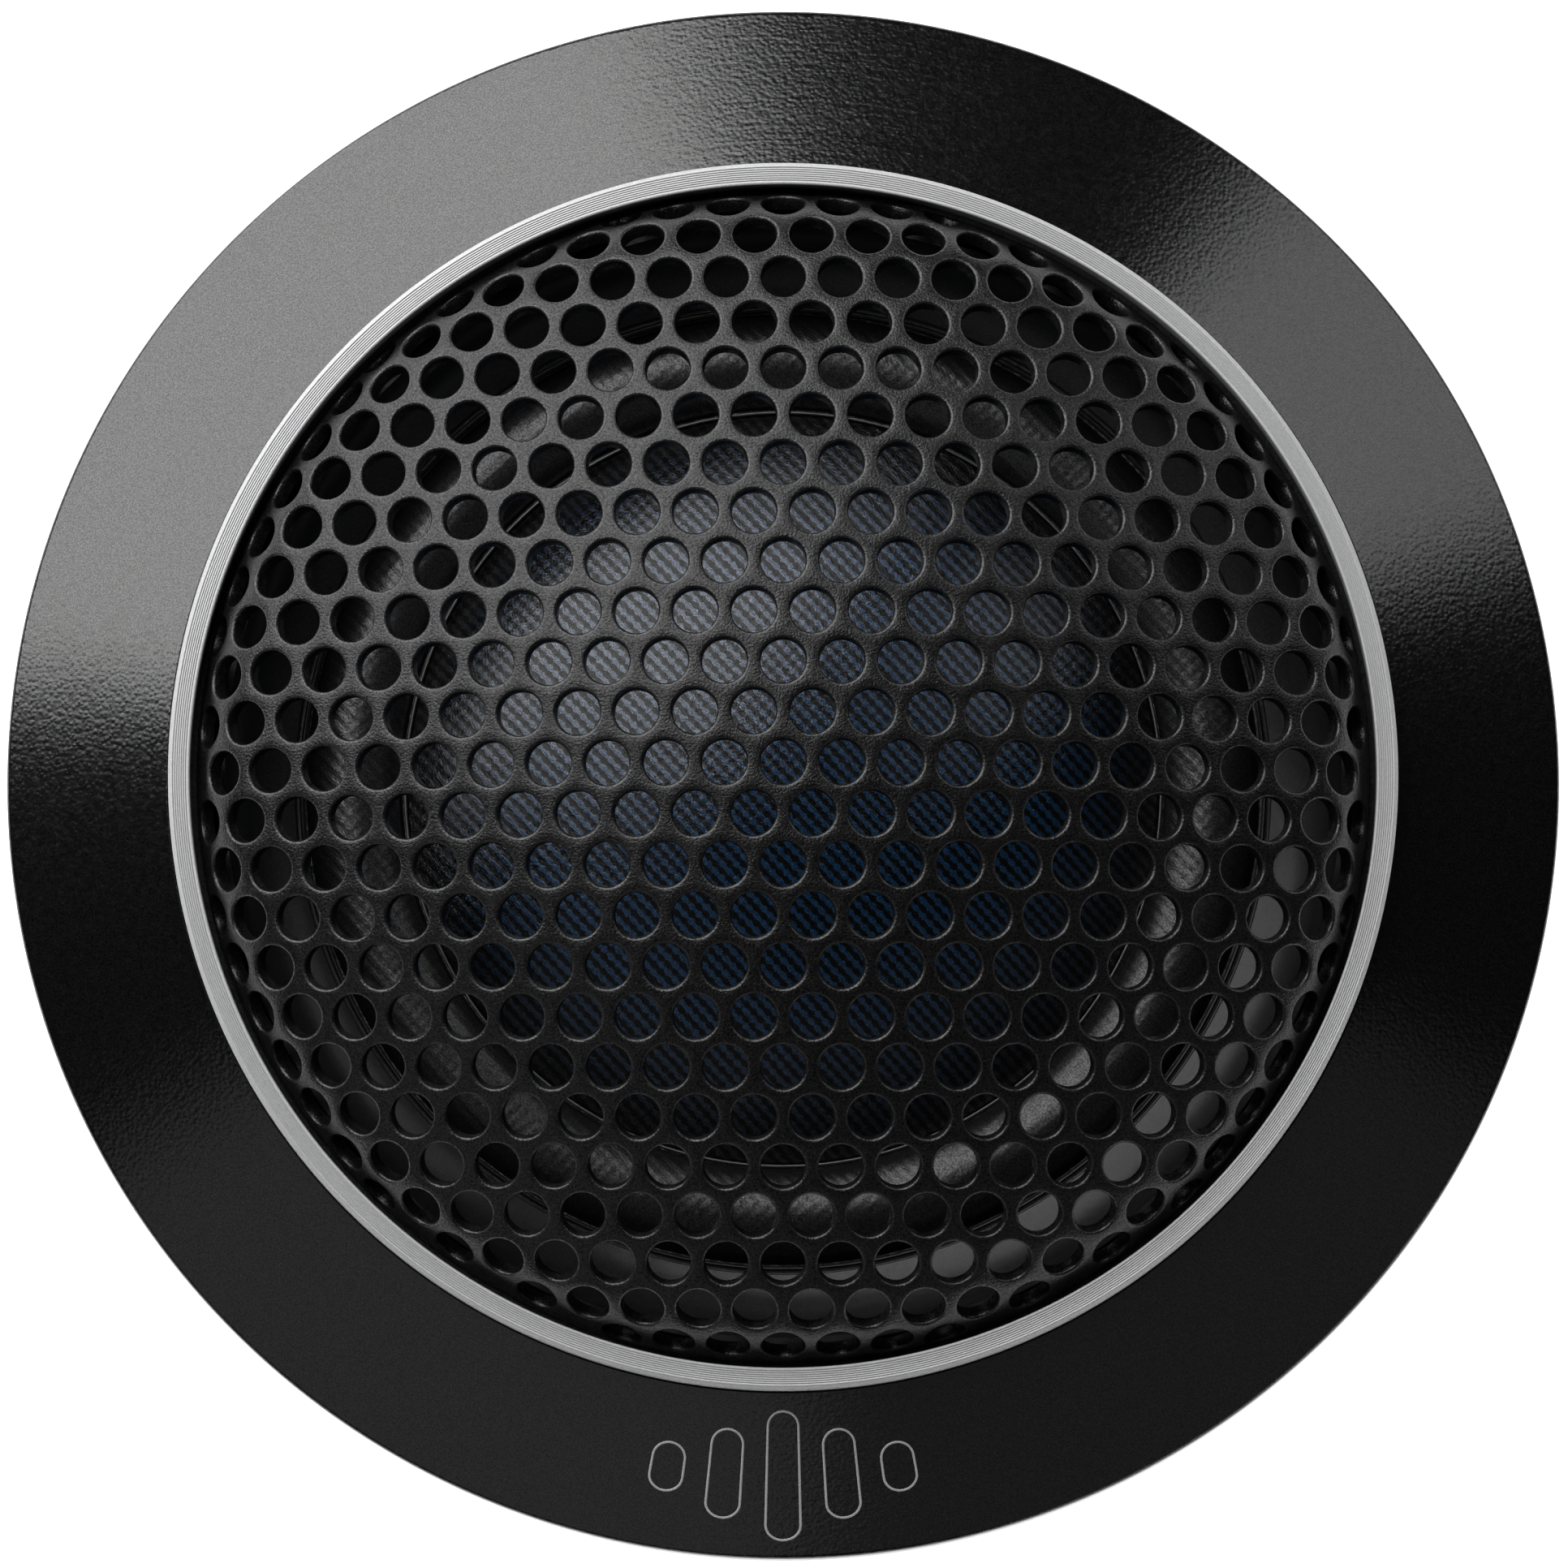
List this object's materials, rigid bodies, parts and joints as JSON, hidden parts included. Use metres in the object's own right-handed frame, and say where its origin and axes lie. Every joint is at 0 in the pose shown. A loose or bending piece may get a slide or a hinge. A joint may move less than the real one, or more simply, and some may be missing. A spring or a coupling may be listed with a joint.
{
  "type": "car tweeter",
  "caption": "Flush-mount car tweeter: soft dome behind a domed perforated grille, aluminium trim ring, sloping black flange, threaded barrel with washer and ring nut.",
  "frame": {"origin": "centre of the flat rear face, which the part stands on", "axes": "+Z along the tweeter's axis, from the rear face towards the grille and the listener; +Y away from the terminals"},
  "size_m": [0.053, 0.053, 0.0312],
  "materials": {
    "flange_plastic": "satin black with a fine leather grain",
    "foam": "closed-cell black foam",
    "trim_aluminium": "satin, turned with fine concentric grooves",
    "grille_paint": "matte black powder coat",
    "waveguide_plastic": "smooth satin black",
    "inner_plastic": "black moulded plastic",
    "surround_cloth": "black coated cloth, slightly glossy",
    "dome_fabric": "fine diagonal weave of blue threads on black",
    "former_foil": "thin bare foil",
    "copper_wire": "enamelled copper windings",
    "plated_steel": "zinc-plated steel",
    "nickel_plate": "nickel-plated magnet",
    "felt": "grey wool felt",
    "housing_plastic": "satin black moulding with a spark-eroded texture",
    "board_laminate": "brown phenolic laminate",
    "tinned_brass": "dull tin plating",
    "red_sleeve": "red wire insulation",
    "black_sleeve": "black wire insulation",
    "screw_steel": "black-zinc plated steel",
    "nut_plastic": "black glass-filled nylon"
  },
  "bodies": {
    "root": {"mounting_flange": "flange_plastic", "grille_tape": "foam", "trim_ring": "trim_aluminium", "grille_dome": "grille_paint", "faceplate": "waveguide_plastic", "surround_ring": "inner_plastic", "surround": "surround_cloth", "yoke_cup": "plated_steel", "magnet": "nickel_plate", "pole_plate": "plated_steel", "damping_pad": "felt", "chassis_ring": "inner_plastic", "rear_housing": "housing_plastic", "chamber_pad": "felt", "terminal_board": "board_laminate", "terminal_positive": "tinned_brass", "terminal_negative": "tinned_brass", "lead_wire_positive": "red_sleeve", "lead_wire_negative": "black_sleeve", "housing_screw_1": "screw_steel", "housing_screw_2": "screw_steel", "housing_screw_3": "screw_steel", "panel_gasket": "foam"},
    "diaphragm": {"dome": "dome_fabric", "voice_coil_former": "former_foil", "voice_coil_winding": "copper_wire"},
    "washer": {"clamp_washer": "plated_steel"},
    "nut": {"locking_nut": "nut_plastic"}
  },
  "joints": [
    {"name": "diaphragm_stroke", "type": "slide", "parent": "root", "child": "diaphragm", "axis": [0, 0, 1], "range_m": [-0.0005, 0.0005], "stiffness_N_per_m": 300, "deforming": ["surround"]},
    {"name": "washer_travel", "type": "slide", "parent": "root", "child": "washer", "axis": [0, 0, 1], "range_m": [-0.004, 0.002]},
    {"name": "nut_spin", "type": "hinge", "parent": "washer", "child": "nut", "pos_m": [0, 0, 0.0125], "axis": [0, 0, 1], "range_deg": [-720, 360]}
  ],
  "couplings": [
    {"joint": "washer_travel", "follows": "nut_spin", "m_per_rad": 0.00031831}
  ]
}
